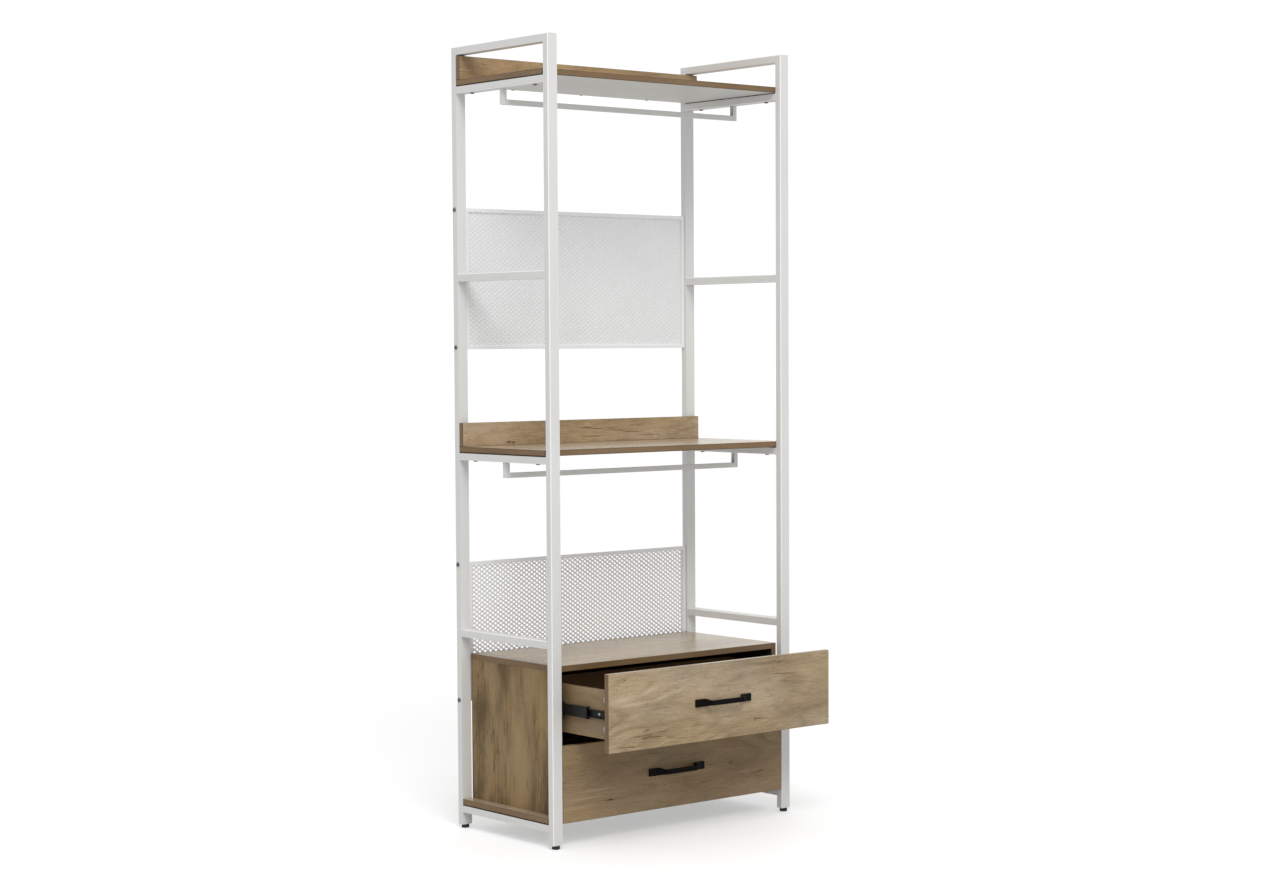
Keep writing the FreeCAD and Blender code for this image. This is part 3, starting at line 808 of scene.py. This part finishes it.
# Feet: the pad's outline as (inset from its radius, height), and the stud above it
PAD_OUTLINE = (
    (0.0020, 0.0), (0.0010, 0.0003), (0.0003, 0.0010), (0.0, 0.0020), (0.0, 0.0060),
    (0.0005, 0.0064), (0.0005, 0.0070), (0.0, 0.0074), (0.0, 0.0094), (0.0006, 0.0100),
)
PAD_HEIGHT = 0.010
STUD_PITCH = 0.00125
STUD_ROOT = 0.0035
STUD_CREST = 0.0040
STUD_END = 0.0028
STUD_CHAMFER = 0.0008
FOOT_STEPS = 40


def dress_foot(name):
    """A foot: a pad with a softened rim and a shallow groove, and a threaded stud."""
    low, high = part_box(name)
    base = Vector(((low.x + high.x) / 2, (low.y + high.y) / 2, 0.0))
    radius = (high.x - low.x) / 2
    profile = [(radius - inset, height) for inset, height in PAD_OUTLINE]
    thread_top = high.z - STUD_CHAMFER
    height = PAD_HEIGHT
    while height + STUD_PITCH < thread_top:
        profile += [(STUD_ROOT, height), (STUD_CREST, height + STUD_PITCH / 2)]
        height += STUD_PITCH
    profile += [(STUD_ROOT, thread_top), (STUD_END, high.z)]
    work = bmesh.new()
    lathe(work, base, Vector((0, 0, 1)), profile, FOOT_STEPS)
    stand_for(add_piece(name + "_look", work, [MATERIALS["plastic"]]), name)


# Expanded metal: the openings' pitch, the strands' section, and the bonds' share of the pitch
MESH_PITCH_X = 0.0171
MESH_PITCH_Z = 0.0115
STRAND_DEPTH = 0.0022
STRAND_RISES = {"upper_mesh_sheet": 0.0097, "lower_mesh_sheet": 0.0057}
STRAND_THICK = 0.0009
BOND = 0.18
BEND = 0.48
BENDS = ((0.0, 1), (BOND / 2, 1), (0.5 - BOND / 2, -1), (0.5 + BOND / 2, -1), (1.0 - BOND / 2, 1))


def dress_mesh_sheet(name):
    """Expanded metal: zigzag strands that meet at their bends, each tilted with its front edge up."""
    low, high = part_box(name)
    columns = round((high.x - low.x) / MESH_PITCH_X)
    strands = round((high.z - low.z) / (MESH_PITCH_Z / 2))
    pitch = (high.x - low.x) / columns
    gap = (high.z - low.z) / strands
    middle_y = (low.y + high.y) / 2
    strand_rise = STRAND_RISES[name]
    across = Vector((0, -STRAND_DEPTH, strand_rise)) / 2
    thick = Vector((0, strand_rise, STRAND_DEPTH)).normalized() * STRAND_THICK / 2
    corners = (across + thick, across - thick, -across - thick, -across + thick)
    path = []
    for column in range(columns):
        left = low.x + column * pitch
        path += [(left + share * pitch, rise) for share, rise in BENDS]
    path.append((high.x, 1))
    work = bmesh.new()
    for strand in range(strands):
        flip = 1 if strand % 2 else -1
        centre = low.z + (strand + 0.5) * gap
        before = None
        for x, rise in path:
            spot = Vector((x, middle_y, centre + flip * rise * gap * BEND))
            ring = []
            for corner in corners:
                point = spot + corner
                point.z = min(max(point.z, low.z), high.z)
                ring.append(work.verts.new(point))
            if before:
                for k in range(4):
                    follow = (k + 1) % 4
                    work.faces.new((before[k], before[follow], ring[follow], ring[k]))
            else:
                work.faces.new(list(reversed(ring)))
            before = ring
        work.faces.new(before)
    piece = add_piece(name + "_look", work, [MATERIALS["mesh"]], smooth=False)
    stand_for(piece, name)


# Slide stops: the size of a block, and its place from the member's front end and middle height
STOP_SIZE = Vector((0.0096, 0.0050, 0.0050))
STOP_SETBACK = 0.0026
STOP_OFFSET = 0.01290
STOP_ROUND = 0.0006


def add_slide_stops(drawer):
    """Plastic end stops that hug the front ends of the middle slide members."""
    name = f"{drawer}_slide_middle_members"
    work = bmesh.new()
    for points in islands(name):
        low, high = span(points)
        sign = 1 if low.x > 0 else -1
        outer = max(abs(low.x), abs(high.x))
        middle_x = sign * (outer - STOP_SIZE.x / 2)
        middle_z = (low.z + high.z) / 2
        for way in (-1, 1):
            centre = Vector((middle_x, low.y + STOP_SETBACK, middle_z + way * STOP_OFFSET))
            for vert in bmesh.ops.create_cube(work, size=1.0)["verts"]:
                vert.co = centre + vert.co * STOP_SIZE
    bmesh.ops.bevel(
        work, geom=work.edges[:], offset=STOP_ROUND, offset_type="OFFSET", segments=2, profile=0.5,
        affect="EDGES",
    )
    piece = add_piece(f"{drawer}_slide_stops", work, [MATERIALS["plastic"]])
    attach(piece, BODY_OF[name])


# Rounding of the frame's and fittings' edges, and the shortest edge that is rounded
TUBE_ROUND = (0.0020, 0.1)
BAR_ROUND = (0.0012, 0.02)
MESH_BAR_ROUND = (0.0010, 0.1)
HANDLE_ROUND = (0.0007, 0.0045)
FINE_ROUND = (0.0004, 0.05)


def dress_frame():
    # Tubes: their rounded corners take the lighter coat as a painted highlight
    tube = [MATERIALS["white"], MATERIALS["painted_corner_highlight"]]
    for name in NODES:
        # Rails that carry a board: the top corners under the board take the near-black coat as painted shade
        if name.endswith(("_shelf_rail", "_bottom_rail")):
            dress(name, tube + [MATERIALS["joint_shade"]], *TUBE_ROUND, under_board)
        elif name.endswith(("_post", "_rail")):
            dress(name, tube, *TUBE_ROUND, on_corner)
        elif name.endswith("_hanging_bar"):
            dress(name, [MATERIALS["white"]], *BAR_ROUND)
        elif name.endswith("_mesh_frame"):
            dress(name, [MATERIALS["mesh"]], *MESH_BAR_ROUND)
        elif name.endswith("_mesh_sheet"):
            dress_mesh_sheet(name)
        elif name.endswith("_foot"):
            dress_foot(name)
        elif name.endswith("_bolts"):
            dress_fasteners(name, "hexagon", MATERIALS["bolt"])
        elif name.endswith("_screws"):
            dress_fasteners(name, "cross", MATERIALS["zinc"])
        elif name.endswith("_cam_locks"):
            dress_cam_locks(name)
        elif name.endswith("_handle"):
            dress(name, [MATERIALS["black"]], *HANDLE_ROUND)
        elif "slide_" in name:
            dress(name, [MATERIALS["slide"]], *FINE_ROUND)


def dress_boards():
    shelf, under, dark, inside = (MATERIALS[key] for key in ("shelf", "underside", "dark", "inside"))
    side = MATERIALS["drawer_side"]
    for name in ("top_shelf", "middle_shelf"):
        dress_board(name, {(Z, 1): shelf, (Z, -1): under}, True)
    for name in ("top", "middle"):
        lip = MATERIALS[f"{name}_lip"]
        dress_board(f"{name}_shelf_lip", {(Y, -1): lip, (Y, 1): lip}, True)
    # The cabinet's inner faces take the near-black coat: painted shade
    dress_board("cabinet_top", {(Z, 1): shelf, (Z, -1): dark})
    dress_board("cabinet_bottom", {(Z, 1): shelf, (Z, -1): under}, True)
    dress_board("cabinet_left_side", {(X, -1): MATERIALS["left_side"], (X, 1): dark})
    dress_board("cabinet_right_side", {(X, 1): MATERIALS["right_side"], (X, -1): dark})
    dress_board("cabinet_back", {(Y, 1): inside, (Y, -1): dark})
    for drawer in ("upper", "lower"):
        front = MATERIALS[f"{drawer}_front"]
        dress_board(f"{drawer}_drawer_front", {(Y, -1): front, (Y, 1): inside, (Z, 1): shelf})
        dress_board(f"{drawer}_drawer_left_side", {(X, -1): side, (X, 1): inside})
        dress_board(f"{drawer}_drawer_right_side", {(X, 1): side, (X, -1): inside})
        dress_board(f"{drawer}_drawer_back", {(Y, 1): side, (Y, -1): inside})
        dress_board(f"{drawer}_drawer_bottom", {(Z, 1): inside, (Z, -1): inside})
        add_slide_stops(drawer)
    dress("cabinet_dowels", [side], *FINE_ROUND)


# Stage: a pale floor, soft lights and a white surround
FLOOR_REACH = 30.0
FLOOR_CLOUDS = (0.8, 3.0)
FLOOR_LIGHT = (0.74, 0.74, 0.74)
FLOOR_DARK = (0.72, 0.72, 0.72)
FLOOR_GLOW = 0.38
FLOOR_ROUGHNESS = 0.65
FLOOR_SPECULAR = 0.2


def make_stage():
    material, tree, shader, place = start("pale_floor")
    cloud = noise(tree, place, *FLOOR_CLOUDS)
    pale = ramp(tree, cloud, ((NOISE_LOW, FLOOR_DARK), (NOISE_HIGH, FLOOR_LIGHT)))
    tree.links.new(pale, shader.inputs["Base Color"])
    shader.inputs["Roughness"].default_value = FLOOR_ROUGHNESS
    shader.inputs["Specular IOR Level"].default_value = FLOOR_SPECULAR
    shader.inputs["Emission Color"].default_value = (FLOOR_GLOW, FLOOR_GLOW, FLOOR_GLOW, 1.0)
    tree.links.new(node(tree, "LightPath").outputs["Is Camera Ray"], shader.inputs["Emission Strength"])
    work = bmesh.new()
    corners = [(-1, -1), (1, -1), (1, 1), (-1, 1)]
    work.faces.new([work.verts.new((a * FLOOR_REACH, b * FLOOR_REACH, 0.0)) for a, b in corners])
    add_piece("floor", work, [material], smooth=False)


WHITE = (1.0, 1.0, 1.0, 1.0)
SEEN = 1.05
MIRRORED = 1.05
SURROUND = 0.60
KEY_FROM = (-0.38, -0.62, 0.69)
KEY_TARGET = (0.0, 0.0, 0.0)
KEY_STRENGTH = 0.85
KEY_SPREAD = math.radians(26.0)
TOP_PLACE = (-2.1, -3.9, 5.3)
TOP_TARGET = (0.0, 0.0, 1.2)
TOP_SIZE = 3.2
TOP_WATTS = 97.0


def add_light(name, kind, energy, place, target):
    data = bpy.data.lights.new(name, kind)
    data.energy = energy
    light = bpy.data.objects.new(name, data)
    SCENE.collection.objects.link(light)
    light.location = place
    light.rotation_euler = (Vector(target) - Vector(place)).to_track_quat("-Z", "Y").to_euler()
    return data


def make_light():
    add_light("key", "SUN", KEY_STRENGTH, KEY_FROM, KEY_TARGET).angle = KEY_SPREAD
    add_light("top", "AREA", TOP_WATTS, TOP_PLACE, TOP_TARGET).size = TOP_SIZE
    world = bpy.data.worlds.new("white_surround")
    world.use_nodes = True
    tree = world.node_tree
    tree.nodes.clear()
    seen, lit, mirrored = (
        node(tree, "Background", {"Color": WHITE, "Strength": strength}).outputs[0]
        for strength in (SEEN, SURROUND, MIRRORED)
    )
    path = node(tree, "LightPath").outputs
    soft = node(tree, "MixShader", {0: path["Is Glossy Ray"], 1: lit, 2: mirrored}).outputs[0]
    mixed = node(tree, "MixShader", {0: path["Is Camera Ray"], 1: soft, 2: seen}).outputs[0]
    node(tree, "OutputWorld", {"Surface": mixed})
    SCENE.world = world
    SCENE.view_settings.view_transform = "Standard"


make_camera()
MATERIALS = make_materials()
dress_frame()
dress_boards()
make_stage()
make_light()
